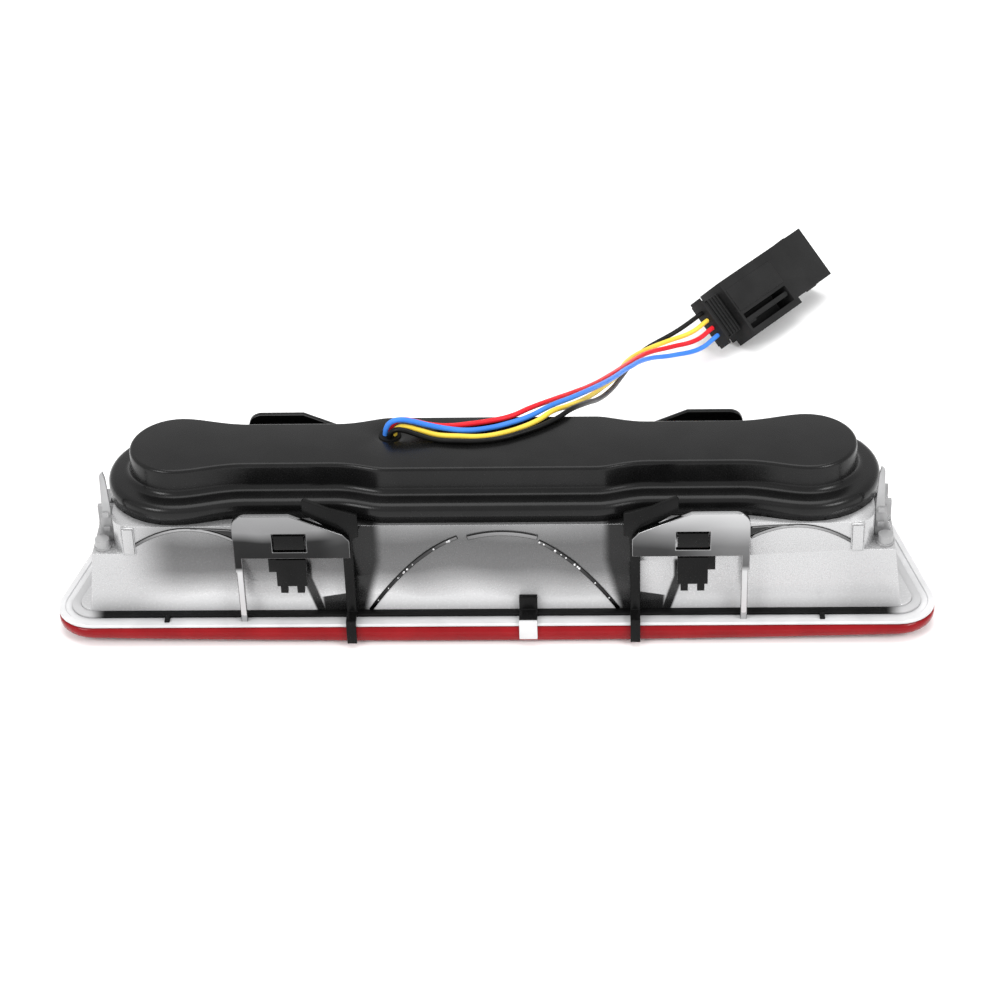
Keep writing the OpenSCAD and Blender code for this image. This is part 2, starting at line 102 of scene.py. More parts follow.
def spread(tree, value, span, target, smooth=False):
    """Carries a value from one span to another and stops at its ends."""
    made = tree.nodes.new("ShaderNodeMapRange")
    if smooth:
        made.interpolation_type = "SMOOTHSTEP"
    for socket, number in zip(("From Min", "From Max", "To Min", "To Max"), (*span, *target)):
        made.inputs[socket].default_value = number
    tree.links.new(value, made.inputs["Value"])
    return made.outputs["Result"]


def ramp_of(tree, value, stops):
    """Colour ramp; each stop is a place from 0 to 1 and a tone."""
    made = tree.nodes.new("ShaderNodeValToRGB")
    ramp = made.color_ramp
    ramp.elements[0].position = stops[0][0]
    ramp.elements[0].color = (*stops[0][1], 1)
    ramp.elements[1].position = stops[-1][0]
    ramp.elements[1].color = (*stops[-1][1], 1)
    for place, tone in stops[1:-1]:
        ramp.elements.new(place).color = (*tone, 1)
    tree.links.new(value, made.inputs["Fac"])
    return made.outputs["Color"]


def maths(tree, operation, first, second):
    """Node arithmetic on two sockets, or on a socket and a number."""
    made = tree.nodes.new("ShaderNodeMath")
    made.operation = operation
    for socket, value in zip(made.inputs, (first, second)):
        if isinstance(value, (int, float)):
            socket.default_value = value
        else:
            tree.links.new(value, socket)
    return made.outputs["Value"]


def both(tree, first, second):
    """Where two masks meet."""
    return maths(tree, "MULTIPLY", first, second)


def aside_of(tree, axes):
    """Distance from the lamp's middle towards either end."""
    return maths(tree, "ABSOLUTE", axes["X"], 0)


def mixed(tree, share, first, second):
    """Blend of two colours, each a socket or a tone; share 0 gives the first."""
    made = tree.nodes.new("ShaderNodeMix")
    made.data_type = "RGBA"
    tree.links.new(share, made.inputs["Factor"])
    for socket, colour in ((made.inputs[6], first), (made.inputs[7], second)):
        if isinstance(colour, tuple):
            socket.default_value = (*colour, 1)
        else:
            tree.links.new(colour, socket)
    return made.outputs[2]


def give_grain(tree, shader, place, roughness, grain, depth):
    """Fine grain in a surface's gloss and in its relief."""
    fine = noise_of(tree, place, grain)
    gloss = spread(tree, fine, (0.3, 0.7), (roughness * 0.85, roughness * 1.15))
    tree.links.new(gloss, shader.inputs["Roughness"])
    bump = tree.nodes.new("ShaderNodeBump")
    bump.inputs["Strength"].default_value = 0.5
    bump.inputs["Distance"].default_value = depth * MM
    tree.links.new(fine, bump.inputs["Height"])
    tree.links.new(bump.outputs["Normal"], shader.inputs["Normal"])


def moulded(name, dark, light, roughness, grain, depth, **values):
    """Moulded finish: a slow mottle between two tones and a fine grain."""
    finish, tree, shader = new_finish(name, {key.replace("_", " "): value for key, value in values.items()})
    place = object_place(tree)
    mottle = noise_of(tree, place, 70)
    tree.links.new(ramp_of(tree, mottle, [(0.35, dark), (0.65, light)]), shader.inputs["Base Color"])
    give_grain(tree, shader, place, roughness, grain, depth)
    return finish


def grey(tone):
    """Neutral colour of one brightness, a touch cool."""
    return (tone, tone, tone * 1.01)


def height_tones(tree, place, wobble, tones):
    """Tones by height; each is a height in millimetres and a brightness."""
    low, high = tones[0][0], tones[-1][0]
    level = spread(tree, axes_of(tree, place)["Z"], (low * MM, high * MM), (0, 1))
    level = maths(tree, "ADD", level, wobble)
    return ramp_of(tree, level, [((height - low) / (high - low), grey(tone)) for height, tone in tones])


def painted_strap_reflection(tree, axes):
    """Mask of the painted reflections of the straps and clips, dark shapes on the bright walls.

    The broad shape stands behind the strap's inner leg and steps outward near the wall's foot.
    The thin one curves down to it from the clip.
    """
    aside = aside_of(tree, axes)
    height = axes["Z"]
    inner = maths(tree, "SUBTRACT", aside, spread(tree, height, (0.012, 0.034), (0.0475, 0.0425)))
    outer = maths(tree, "SUBTRACT", spread(tree, height, (0.0168, 0.0186), (0.0664, 0.0565)), aside)
    broad = both(tree, spread(tree, inner, (-0.0012, 0.003), (0, 1), smooth=True),
                 spread(tree, outer, (-0.0005, 0.0012), (0, 1), smooth=True))
    middle = spread(tree, height, (0.01, 0.026), (0.0666, 0.0714))
    away = maths(tree, "ABSOLUTE", maths(tree, "SUBTRACT", aside, middle), 0)
    thin = both(tree, spread(tree, away, (0.0013, 0.0024), (1, 0), smooth=True),
                spread(tree, height, (0.033, 0.035), (1, 0)))
    return maths(tree, "MAXIMUM", broad, thin)


def painted_arch_shade(tree, axes):
    """Mask of painted shade: a dark sliver between an end bay's arch and the bead above it."""
    aside = aside_of(tree, axes)
    run = maths(tree, "SUBTRACT", aside, END_BAY_X * MM)
    fall = maths(tree, "MULTIPLY", both(tree, run, run), END_FALL / MM)
    over = maths(tree, "ADD", maths(tree, "SUBTRACT", axes["Z"], (END_CROWN + 0.2) * MM), fall)
    under = maths(tree, "SUBTRACT", (END_CROWN - 0.2) * MM, axes["Z"])
    sliver = both(tree, spread(tree, over, (0.0004, 0.0009), (0, 1)),
                  spread(tree, under, (0, 0.0005), (0, 1)))
    reach = both(tree, spread(tree, aside, (0.11, 0.112), (1, 0)),
                 spread(tree, aside, (0.0975, 0.098), (0, 1)))
    return both(tree, sliver, reach)


def metallised(name, left, right, change, wall=False, roughness=0.11):
    """Bright vacuum-metallised skin whose tone changes with height, a painted reflection of what the metal
    faces.

    left and right are the painted reflection tones on the lamp's two halves, and change is where one turns into
    the other.
    A wall also has painted reflections, bright ends and the dark shapes of the straps and clips, and painted
    shade under the end bays' beads; its foot is duller, so it doesn't mirror the seal.
    """
    finish, tree, shader = new_finish(name, {"Metallic": 1.0})
    place = object_place(tree)
    axes = axes_of(tree, place)
    wobble = spread(tree, noise_of(tree, place, 26, 1), (0.3, 0.7), (-0.07, 0.07))
    along = spread(tree, axes["X"], [x * MM for x in change], (0, 1), smooth=True)
    # tones by height: painted reflection
    tones = [height_tones(tree, place, wobble, stops) for stops in (left, right)]
    tone = mixed(tree, along, *tones)
    if wall:
        # painted reflection: both ends of the wall are lighter
        ends = spread(tree, aside_of(tree, axes), (0.121, 0.143), (0, 1), smooth=True)
        tone = mixed(tree, ends, tone, grey(0.42))
        # painted reflection of the straps and clips, dark on the wall
        tone = mixed(tree, painted_strap_reflection(tree, axes), tone, grey(0.012))
        # painted shade under the end bays' beads
        tone = mixed(tree, painted_arch_shade(tree, axes), tone, grey(0.02))
        tree.links.new(spread(tree, axes["Z"], (0.016, 0.028), (0, 0.6)), shader.inputs["Metallic"])
    tree.links.new(tone, shader.inputs["Base Color"])
    give_grain(tree, shader, place, roughness, 900, 0.001)
    return finish


def seal_finish():
    """Soft seal: black along the long sides and filmed over with clear material round both ends."""
    finish, tree, shader = new_finish("foot seal", {"Specular IOR Level": 0.1})
    place = object_place(tree)
    black = ramp_of(tree, noise_of(tree, place, 70), [(0.35, grey(0.003)), (0.65, grey(0.006))])
    ends = spread(tree, aside_of(tree, axes_of(tree, place)), (0.151, 0.158), (0, 1), smooth=True)
    tree.links.new(mixed(tree, ends, black, grey(0.4)), shader.inputs["Base Color"])
    give_grain(tree, shader, place, 0.5, 2500, 0.04)
    return finish


COVER_BLACK = moulded("satin cover black", grey(0.0035), grey(0.0055), 0.25, 1700, 0.02,
                      Specular_IOR_Level=0.22)
FOOT_SEAL = seal_finish()
SEAL_BLACK = moulded("soft seal black", grey(0.003), grey(0.006), 0.62, 2500, 0.04, Specular_IOR_Level=0.1)
CLIP_BLACK = moulded("clip black", grey(0.002), grey(0.004), 0.3, 1500, 0.02, Specular_IOR_Level=0.12)
PLUG_BLACK = moulded("plug black", grey(0.008), grey(0.012), 0.5, 2200, 0.05, Specular_IOR_Level=0.17)
RED_LENS = moulded("red lens", (0.19, 0.0025, 0.005), (0.23, 0.004, 0.007), 0.2, 300, 0.01,
                   Specular_IOR_Level=0.15, Coat_Weight=0.05, Coat_Roughness=0.1)
CLEAR = moulded("clear moulding", grey(0.6), grey(0.7), 0.12, 420, 0.02,
                Transmission_Weight=0.18, IOR=1.49, Coat_Weight=0.3)
# fins: the clear moulding in a darker tone, painted shade, with darker rounded edges, a painted dark outline
CLEAR_FIN = moulded("clear fin", grey(0.34), grey(0.42), 0.14, 420, 0.02,
                    Transmission_Weight=0.3, IOR=1.49, Coat_Weight=0.2)
CLEAR_EDGE = moulded("clear moulding edge", grey(0.2), grey(0.3), 0.2, 420, 0.02, Transmission_Weight=0.1)
# housing wall: painted reflections, light low down and a dark band higher up on all but the right-hand part
BRIGHT_WALL = metallised(
    "bright housing",
    [(9, 0.6), (17, 0.58), (20, 0.42), (24.5, 0.26), (30, 0.13), (41, 0.1), (47, 0.17), (51, 0.22)],
    [(9, 0.58), (25, 0.47), (40, 0.43), (47, 0.43), (51, 0.4)],
    (52, 60), wall=True, roughness=0.26)
# near bracket plates: painted reflections, a dark band across the middle height, lighter above, different on
# each bracket
BRACKET_LEFT = metallised(
    "bright bracket left",
    [(9, 0.55), (33.5, 0.5), (36, 0.018), (49, 0.022), (53, 0.2), (60, 0.24)],
    [(9, 0.55), (33.5, 0.5), (36, 0.03), (46, 0.035), (51, 0.08), (60, 0.12)],
    (-66, -57))
BRACKET_RIGHT = metallised(
    "bright bracket right",
    [(9, 0.55), (33.5, 0.5), (36, 0.03), (45, 0.04), (52, 0.15), (60, 0.36)],
    [(9, 0.55), (33.5, 0.5), (36, 0.1), (44, 0.14), (52, 0.36), (60, 0.46)],
    (66, 92))
# even bright tone on the housing's rounded edges, a painted highlight beside the wall's painted tones; bead
# bubbles and hidden reflectors share it
BRIGHT_EDGE = metallised(
    "bright edge", [(0, 0.5), (70, 0.5)], [(0, 0.55), (70, 0.55)], (-5, 5), roughness=0.2)
# rounded edges of the near brackets: painted reflection, lighter on the right-hand bracket and higher up
BRACKET_EDGE = metallised(
    "bracket edge", [(0, 0.12), (70, 0.16)], [(0, 0.2), (70, 0.3)], (-5, 5), roughness=0.25)
# far brackets and their edges: the same metal painted near black, painted shade
BRACKET_FAR = metallised(
    "shaded bracket", [(0, 0.02), (70, 0.02)], [(0, 0.015), (70, 0.015)], (-5, 5), roughness=0.3)
FAR_EDGE = metallised(
    "shaded bracket edge", [(0, 0.045), (70, 0.05)], [(0, 0.02), (70, 0.02)], (-5, 5), roughness=0.3)
# weld beads and their edges: darker towards the bottom and a little lighter on the right, painted reflection
BRIGHT_BEAD = metallised(
    "bead", [(9, 0.012), (38, 0.05), (50, 0.3)], [(9, 0.012), (38, 0.05), (50, 0.36)], (0, 60))
BEAD_EDGE = metallised(
    "bead edge", [(9, 0.01), (50, 0.02)], [(9, 0.01), (50, 0.05)], (20, 80), roughness=0.2)
BOARD_GREEN = moulded("solder mask", (0.006, 0.09, 0.03), (0.01, 0.12, 0.045), 0.3, 900, 0.02)
LED_WHITE = moulded("lamp chip white", (0.74, 0.7, 0.58), (0.82, 0.79, 0.68), 0.25, 1500, 0.01)
PART_BLACK = moulded("component black", grey(0.012), grey(0.02), 0.4, 2500, 0.02)
SCREW_STEEL = moulded("zinc plate", (0.5, 0.5, 0.48), (0.62, 0.62, 0.6), 0.3, 2600, 0.02, Metallic=1.0)
HEADER_IVORY = moulded("header ivory", (0.68, 0.63, 0.5), (0.74, 0.7, 0.58), 0.42, 1800, 0.02)
LEAD_GREY = moulded("inner lead grey", grey(0.17), grey(0.22), 0.4, 1800, 0.02)
TERMINAL_TIN = moulded("plated blade", (0.62, 0.5, 0.26), (0.72, 0.6, 0.34), 0.25, 2000, 0.01, Metallic=1.0)


# ---- Making pieces ----
def add_piece(bm, name, finishes, slot, *replaced, body=LAMP, crease=38, wall=0.0, recalculate=True):
    """Turns a bmesh into a finished piece that rides on a body; wall gives an open shell its thickness."""
    if recalculate:
        bmesh.ops.recalc_face_normals(bm, faces=bm.faces)
    mesh = bpy.data.meshes.new(name)
    bm.to_mesh(mesh)
    bm.free()
    for finish in finishes:
        mesh.materials.append(finish)
    mesh.shade_smooth()
    mesh.set_sharp_from_angle(angle=math.radians(crease))
    made = put_in_scene(name, mesh)
    if wall:
        shell = made.modifiers.new("wall", "SOLIDIFY")
        shell.thickness = wall * MM
        shell.offset = -1
        shell.use_even_offset = True
    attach(made, body)
    if replaced:
        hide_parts(*replaced)
    return made


def bevel_edges(bm, edges, width, segments=2):
    """Rounds edges and returns the new faces."""
    made = bmesh.ops.bevel(
        bm, geom=edges, offset=width * MM, offset_type="OFFSET", segments=segments,
        profile=0.5, affect="EDGES", clamp_overlap=True, material=-1)
    return made["faces"]


def hard_edges(bm, angle=40):
    """Edges that turn by more than an angle in degrees."""
    limit = math.radians(angle)
    return [e for e in bm.edges if len(e.link_faces) == 2 and e.calc_face_angle() > limit]


def rounded(node, name, width, finishes, slot, body=LAMP, extra=None):
    """Stands for a CAD node: its merged copy with flat faces joined and hard edges rounded.

    With two finishes the rounded edges take the second. extra adds detail before the rounding.
    """
    bm = bmesh.new()
    bm.from_mesh(nodes[node].data)
    bmesh.ops.remove_doubles(bm, verts=bm.verts, dist=0.001 * MM)
    bmesh.ops.dissolve_limit(bm, angle_limit=math.radians(0.5), verts=bm.verts, edges=bm.edges)
    if extra:
        extra(bm)
    for face in bevel_edges(bm, hard_edges(bm), width):
        face.material_index = len(finishes) - 1
    return add_piece(bm, name, finishes, slot, node, body=body, recalculate=False)


def add_box(bm, low, high, place=Matrix.Identity(4)):
    """Box between two corners in millimetres."""
    size = [(b - a) * MM for a, b in zip(low, high)]
    middle = Vector([(a + b) / 2 * MM for a, b in zip(low, high)])
    placed = place @ Matrix.Translation(middle) @ Matrix.Diagonal((*size, 1))
    return bmesh.ops.create_cube(bm, size=1, matrix=placed)["verts"]


def face_from(bm, outline, height):
    """Face from an outline in millimetres, counter-clockwise from above."""
    face = bm.faces.new([bm.verts.new((x * MM, y * MM, height * MM)) for x, y in outline])
    face.normal_update()
    return face


def build_up(bm, top, profile):
    """Raises a face through a profile of (distance in from its edge, distance along its normal)."""
    along = top.normal.copy()
    for (in_0, up_0), (in_1, up_1) in zip(profile, profile[1:]):
        bmesh.ops.inset_region(
            bm, faces=[top], thickness=max(in_1 - in_0, 0.01) * MM, use_even_offset=True, use_boundary=True)
        bmesh.ops.translate(bm, verts=top.verts[:], vec=along * (up_1 - up_0) * MM)
    return top


def rounding(start, radius, hollow=False, steps=5):
    """Quarter-circle stretch of a profile: over an outer edge, or into a hollow corner."""
    turns = [math.pi / 2 * i / steps for i in range(steps + 1)]
    if hollow:
        return [(start[0] + radius * math.sin(t), start[1] + radius * (1 - math.cos(t))) for t in turns]
    return [(start[0] + radius * (1 - math.cos(t)), start[1] + radius * math.sin(t)) for t in turns]


def refinish(node, finish):
    """Finish of a CAD node that keeps its shape."""
    nodes[node].data.materials.clear()
    nodes[node].data.materials.append(finish)


# ---- Wires ----
WIRE_D = 2.1
PLUG_L = 61.5
PLUG_W = 25.5
PLUG_T = 15
COLLAR_L = 11.6
WIRE_PITCH = 4
TERMINAL_X = -5
BAY_WIRE_X = -29.75
PLUG_PLACE = (Matrix.Translation(Vector((120.5, 201, 20.6)) * MM)
              @ Matrix.Rotation(math.radians(51.3), 4, "Z") @ Matrix.Rotation(math.radians(42.7), 4, "X"))

ROUTES = {
    "red": [
        (-39.4, 7.6, 69), (-38.8, 7.6, 71.6), (-36.9, 7.7, 73.6), (-34, 7.9, 74.2), (-29.5, 8.3, 73),
        (-24, 8.8, 71.2), (-17, 9.4, 70.2), (-9, 10.6, 70.2), (-1, 12.6, 70.2), (7, 15.8, 70.2), (14, 21.5, 70),
        (22, 31.5, 67), (30, 45, 61.5), (38, 63, 53.5), (46, 88, 42.5), (54, 118, 29), (63, 143, 18.5),
        (73, 154.5, 14), (83.5, 160.5, 13.4)],
    "blue": [
        (-41.2, 5.3, 69), (-40.6, 5.3, 72.2), (-38.6, 5.3, 74.9), (-35.4, 5.3, 75.9), (-31, 5.3, 75.3),
        (-25, 5.2, 73.6), (-18, 5, 72), (-10, 5.6, 70.6), (-2, 7.4, 70.2), (6, 10.6, 70.2), (14, 15.4, 70.2),
        (22, 23.2, 69.8), (30, 35, 65.8), (38, 51, 59.5), (46, 76, 48), (54, 107, 34), (63, 135, 20.5),
        (74, 148.5, 13.5), (85.5, 158, 10.7)],
    "yellow": [
        (-37.6, 5.3, 69), (-37.1, 5.3, 71.2), (-35.4, 5.2, 72.6), (-33, 4.9, 72.8), (-28, 4.2, 71.8),
        (-21, 3.2, 70.2), (-13, 2.2, 70.2), (-4, 1.8, 70.2), (4, 4, 70.2), (11, 7.6, 70.2), (17.5, 12.6, 70.2),
        (23, 18.8, 70.3), (28.5, 27, 67.1), (36, 49, 56.5), (43, 76, 44.5), (49, 106, 31), (54, 135, 20),
        (62, 151, 15), (71, 158.5, 14.3), (81.5, 163.5, 15.6)],
    "black": [
        (-39.4, 3, 69), (-38.8, 3, 71.2), (-37, 2.8, 72.8), (-34.4, 2.4, 73.1), (-29, 1.4, 71.8),
        (-22, 0, 70.2), (-13, -1.2, 70.2), (-4, -1.2, 70.2), (4, 0.6, 70.2), (11, 4, 70.2), (19, 8.9, 70.2),
        (25.5, 14.6, 70.2), (29.5, 19.6, 70.1), (35, 31, 65.5), (41, 56, 51.5), (46, 82, 39), (50, 110, 26.5),
        (55, 137, 16.5), (61, 155.5, 12), (76, 165, 16)],
}
# Each wire: its place in the plug's row, where it ends in the plug, its length in metres and its two tones
WIRES = {
    "red": (-0.5, TERMINAL_X, 0.2802, (0.62, 0.012, 0.02), (0.72, 0.02, 0.03)),
    "blue": (-1.5, BAY_WIRE_X, 0.2633, (0.035, 0.17, 0.62), (0.05, 0.21, 0.7)),
    "yellow": (0.5, TERMINAL_X, 0.2915, (0.72, 0.5, 0.05), (0.8, 0.58, 0.07)),
    "black": (1.5, TERMINAL_X, 0.3015, (0.002, 0.002, 0.002), (0.004, 0.004, 0.004)),
}


def wire_finish(colour, dark, light):
    """Smooth insulation in one colour."""
    return moulded(f"wire {colour}", dark, light, 0.38, 1400, 0.02, Specular_IOR_Level=0.15)


def make_wire(colour):
    """One insulated wire: a smooth curve from the outlet, through the plug's collar, to its terminal."""
    row, last, length, dark, light = WIRES[colour]
    run_in = [(x, WIRE_PITCH * row, -PLUG_T / 2) for x in (-PLUG_L / 2 - COLLAR_L, -PLUG_L / 2 - 1, last)]
    points = [Vector(point) * MM for point in ROUTES[colour]]
    points += [PLUG_PLACE @ (Vector(point) * MM) for point in run_in]
    line = bpy.data.curves.new(f"wire_{colour}_line", "CURVE")
    line.dimensions = "3D"
    line.bevel_depth = WIRE_D / 2 * MM
    line.bevel_resolution = 5
    line.resolution_u = 6
    line.use_fill_caps = True
    spline = line.splines.new("BEZIER")
    spline.bezier_points.add(len(points) - 1)
    for knot, point in zip(spline.bezier_points, points):
        knot.co = point
        knot.handle_left_type = "AUTO"
        knot.handle_right_type = "AUTO"
    line.materials.append(wire_finish(colour, dark, light))
    wire = put_in_scene(f"insulated_wire_{colour}", line)
    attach(wire, LAMP)
    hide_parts(f"wire_{colour}")
    return wire, points[0], length


# ---- Plug ----
def plug_details(bm):
    """Raised panel on the broad face and a lip round the mating end."""
    half = PLUG_W / 2
    add_box(bm, (-PLUG_L / 2 + 1, -3.2, -0.6), (2.5, half - 4.6, 0.35), PLUG_PLACE)
    for side in (-1, 1):
        low, high = sorted((side * (half - 0.1), side * (half + 0.4)))
        add_box(bm, (PLUG_L / 2 - 9, low, -11), (PLUG_L / 2 - 7.6, high, -4), PLUG_PLACE)


def collar_details(bm):
    """Flared lip at the wire end, on both sides."""
    start = -PLUG_L / 2 - COLLAR_L
    for side in (-1, 1):
        low, high = sorted((side * 10.2, side * 12))
        add_box(bm, (start, low, -10.9), (start + 1.2, high, -4.1), PLUG_PLACE)


def make_plug():
    """Shell, ribbed collar, latch lever and blades; the wires move with them."""
    black = [PLUG_BLACK]
    shell = rounded("plug_body", "plug_shell", 0.45, black, "plug_black", extra=plug_details)
    collar = rounded("plug_collar", "plug_ribbed_collar", 0.25, black, "plug_black", extra=collar_details)
    latch = rounded("plug_latch", "plug_latch_lever", 0.3, black, "plug_black", body="plug_latch")
    refinish("plug_terminals", TERMINAL_TIN)
    return shell, collar, latch, nodes["plug_terminals"]


plug_pieces = make_plug()
for wire_colour in WIRES:
    wire_piece, wire_exit, wire_length = make_wire(wire_colour)


# ---- Back cover ----
FLANGE = 9.4
FLANGE_LOW = 51
COVER_TOP = 69
END_X = 121.2
END_R = 18.6
OUTLET = (-39.4, 5.3)
OUTLET_R = 4.3


def ease(x, start, stop, first, last):
    """Half cosine wave from one value to another."""
    return first + (last - first) * (1 - math.cos(math.pi * (x - start) / (stop - start))) / 2


def back_half(x):
    """Half width of the raised back at a distance along the lamp."""
    return ease(x, 40, 60, 18, 14.2) if x < 60 else ease(x, 94, END_X, 14.2, END_R)


def back_outline(out):
    """Dog-bone outline of the raised back, moved out, counter-clockwise from the near left."""
    steps = 10
    along = [40 + 19.99 * i / steps for i in range(steps + 1)]
    along += [94 + (END_X - 94) * i / steps for i in range(steps)]
    half = [(x, -back_half(x) - out) for x in along]
    turns = [math.pi * i / 26 for i in range(27)]
    half += [(END_X + (END_R + out) * math.sin(t), -(END_R + out) * math.cos(t)) for t in turns]
    half += [(x, back_half(x) + out) for x in reversed(along)]
    return half + [(-x, y) for x, y in reversed(half)]


def make_cover():
    """Moulded shell: rolled flange, filleted wall with draft, rounded top edge and a dished wire outlet."""
    profile = [(0, 0), (0.1, 3.6)]
    profile += rounding((0.15, 3.9), 2.9)
    profile += [(4.4, 6.95)]
    profile += rounding((6.2, 7.1), 2.7, hollow=True, steps=7)
    profile += [(9.25, 16.0)]
    profile += rounding((9.3, 16.5), 1.5, steps=6)
    bm = bmesh.new()
    top = build_up(bm, face_from(bm, back_outline(FLANGE), FLANGE_LOW), profile)
    rim = list(top.edges)
    bmesh.ops.delete(bm, geom=[top], context="FACES_ONLY")
    middle = Matrix.Translation((OUTLET[0] * MM, OUTLET[1] * MM, COVER_TOP * MM))
    dish = bmesh.ops.create_circle(bm, segments=48, radius=(OUTLET_R + 2.4) * MM, matrix=middle)["verts"]
    dish_edges = [e for e in bm.edges if e.verts[0] in dish and e.verts[1] in dish]
    bmesh.ops.triangle_fill(bm, edges=rim + dish_edges, use_beauty=True)
    for scale, drop in ((0.9, 0.12), (0.72, 0.25), (0.93, 0.5)):
        made = bmesh.ops.extrude_edge_only(bm, edges=dish_edges)["geom"]
        ring = [v for v in made if isinstance(v, bmesh.types.BMVert)]
        dish_edges = [e for e in bm.edges if all(v in ring for v in e.verts)]
        bmesh.ops.scale(bm, verts=ring, vec=(scale, scale, 1), space=middle.inverted())
        bmesh.ops.translate(bm, verts=ring, vec=(0, 0, -drop * MM))
    return add_piece(bm, "back_cover", [COVER_BLACK], "cover_black", "cover", crease=50, wall=1.7)


make_cover()


# ---- Lens and rim ----
LENS_W = 38
LENS_L = 165.4
TAPER = 0.248
SLANT = math.hypot(1, TAPER)
LENS_H = 8.3
RIM_Z = 9.5
BOW_R = 4800


def lamp_outline(inward, steps=9):
    """Tapered outline of the lamp with round corners, moved in, counter-clockwise from the near side."""
    lean = math.atan(TAPER)
    half = []
    for side, radius, start, stop in ((-1, 15, -math.pi / 2, lean), (1, 18, lean, math.pi / 2)):
        r = radius - min(inward, 11)
        y = side * (LENS_W - inward - r)
        x = LENS_L - TAPER * y - (inward + r) * SLANT
        turns = [start + (stop - start) * i / steps for i in range(steps + 1)]
        half += [(x + r * math.cos(t), y + r * math.sin(t)) for t in turns]
    return half + [(-x, y) for x, y in reversed(half)]


def make_lens():
    """Red lens: open shell with a rolled lower edge and a gently bowed face."""
    bm = bmesh.new()
    face = face_from(bm, lamp_outline(0), LENS_H)
    face.normal_flip()
    profile = [(0, 0), (0.05, 4.9)] + rounding((0.1, 5.0), 2.9) + [(9, 8.2)]
    build_up(bm, face, profile)
    for x in range(-160, 161, 20):
        geometry = bm.verts[:] + bm.edges[:] + bm.faces[:]
        bmesh.ops.bisect_plane(bm, geom=geometry, plane_co=(x * MM, 0, 0), plane_no=(1, 0, 0))
    for vert in bm.verts:
        depth = (LENS_H * MM - vert.co.z) / (LENS_H * MM)
        vert.co.z += depth * vert.co.x ** 2 / (2 * BOW_R * MM)
    return add_piece(bm, "stop_lens", [RED_LENS], "red_lens", "lens", crease=50, wall=2.3)


def make_rim():
    """Clear rim plate: raised outer lip, step down and a flat ledge in to the housing wall."""
    bm = bmesh.new()
    profile = [(0, 0), (0.1, 0.7), (0.5, 1.1), (2.5, 1.1), (2.9, 0.65), (9.9, 0.6)]
    ledge = build_up(bm, face_from(bm, lamp_outline(0), LENS_H + 0.6), profile)
    bmesh.ops.delete(bm, geom=[ledge], context="FACES_ONLY")
    return add_piece(bm, "clear_rim", [CLEAR], "clear_plastic", "lens_rim", wall=1.1)


def seal_tabs(bm):
    """Tabs of the seal that fill the rim's four notches."""
    for side in (-1, 1):
        for x in (-126.5, 126.5):
            low, high = sorted((side * 32.5, side * 36.1))
            add_box(bm, (x - 1, low, RIM_Z - 0.1), (x + 1, high, RIM_Z + 1.3))


make_lens()
make_rim()
rounded("rim_seal", "foot_seal", 0.3, [FOOT_SEAL], "seal_black", extra=seal_tabs)


# ---- Housing ----
WALL_Y = 29


def bay_line(x, crown, fall):
    """Height of a reflector bay's arch at a distance from its middle."""
    return crown - fall * x * x


def add_bead(bm, middle, start, stop, side, crown, fall, width, proud=0.55, steps=14):
    """Weld bead on a long wall, following a bay's arch; side is -1 on the near wall."""
    y = side * (WALL_Y - 0.1)
    rails = []
    for i in range(steps + 1):
        x = start + (stop - start) * i / steps
        lean = Vector((2 * fall * x, 1)).normalized() * width / 2
        z = bay_line(x, crown, fall)
        rails.append([
            bm.verts.new(((middle + x - lean.x) * MM, y * MM, (z - lean.y) * MM)),
            bm.verts.new(((middle + x + lean.x) * MM, y * MM, (z + lean.y) * MM))])
    strip = [bm.faces.new((a[0], b[0], b[1], a[1])) for a, b in zip(rails, rails[1:])]
    made = bmesh.ops.extrude_face_region(bm, geom=strip)["geom"]
    raised = [v for v in made if isinstance(v, bmesh.types.BMVert)]
    bmesh.ops.translate(bm, verts=raised, vec=(0, side * proud * MM, 0))


def add_bubble(bm, x, z, side, radius, proud=0.5):
    """Small bubble in a weld bead."""
    place = Matrix.Translation((x * MM, side * (WALL_Y + proud) * MM, z * MM))
    bmesh.ops.create_icosphere(bm, subdivisions=2, radius=radius * MM, matrix=place)


def make_beads():
    """Weld beads of the middle bay, in three stretches, and of both end bays, on both long walls."""
    draw = random.Random(7)
    arch = bmesh.new()
    bubbles = bmesh.new()
    for side in (-1, 1):
        add_bead(arch, MIDDLE_BAY_X, -48, -13.2, side, MIDDLE_CROWN, MIDDLE_FALL, 1.6)
        add_bead(arch, MIDDLE_BAY_X, 17.8, 48, side, MIDDLE_CROWN, MIDDLE_FALL, 1.6)
        add_bead(arch, 4, -13.2, 13.6, side, 46.8, 0.012, 2.1, proud=0.8)
        for end in (-1, 1):
            low, high = sorted((-17.5 * end, 24 * end))
            add_bead(arch, END_BAY_X * end, low, high, side, END_CROWN, END_FALL, 1.5)
            low, high = sorted((-17.5 * end, -1 * end))
            add_bead(arch, END_BAY_X * end, low, high, side, END_CROWN + 0.2, 0.003, 0.7)
        for _ in range(22):
            x = draw.choice((-1, 1)) * draw.uniform(15, 46)
            height = bay_line(x, MIDDLE_CROWN, MIDDLE_FALL)
            add_bubble(bubbles, MIDDLE_BAY_X + x, height, side, draw.uniform(0.3, 0.7))
    for face in bevel_edges(arch, hard_edges(arch), 0.28):
        face.material_index = 1
    add_piece(arch, "bay_beads", [BRIGHT_BEAD, BEAD_EDGE], "metallised")
    add_piece(bubbles, "bead_bubbles", [BRIGHT_EDGE], "metallised")


